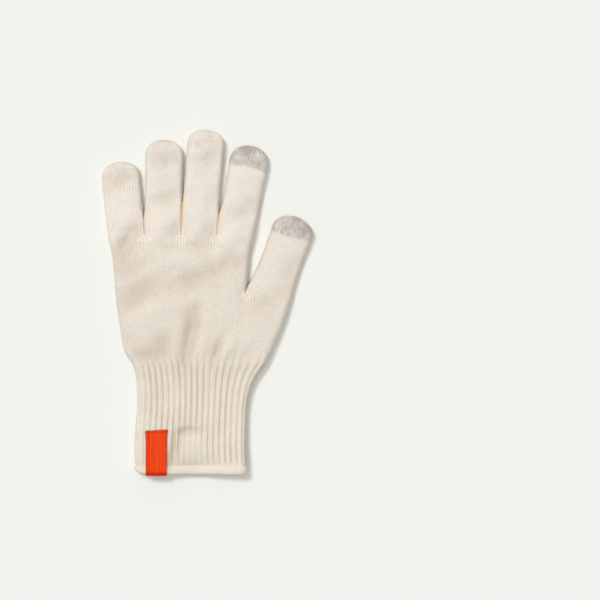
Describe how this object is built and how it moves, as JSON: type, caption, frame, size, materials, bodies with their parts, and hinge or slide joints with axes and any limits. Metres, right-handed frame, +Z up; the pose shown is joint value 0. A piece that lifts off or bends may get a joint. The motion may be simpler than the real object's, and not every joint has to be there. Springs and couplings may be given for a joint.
{
  "type": "glove liner",
  "caption": "Thin knitted liner glove with a ribbed cuff, a rolled hem, touch-screen tips on the index finger and the thumb, and a plain tab label.",
  "frame": {"origin": "on the surface that the glove lies on, below the middle of its outline", "axes": "+X towards the thumb's side, +Y from the cuff to the fingertips, +Z up out of the back of the hand"},
  "size_m": [0.1474, 0.2418, 0.0122],
  "materials": {
    "cream_knit": "fine plain knit",
    "cream_rib": "one by one rib knit",
    "cream_hem": "rolled knit edge",
    "grey_touch_knit": "marled knit",
    "orange_label": "woven tape"
  },
  "bodies": {
    "root": {"cuff_hem": "cream_hem", "cuff": "cream_rib", "palm": "cream_knit", "little_finger": "cream_knit", "ring_finger": "cream_knit", "middle_finger": "cream_knit", "index_finger": "cream_knit", "index_touch_tip": "grey_touch_knit", "thumb": "cream_knit", "thumb_touch_tip": "grey_touch_knit", "label": "orange_label"}
  },
  "joints": []
}
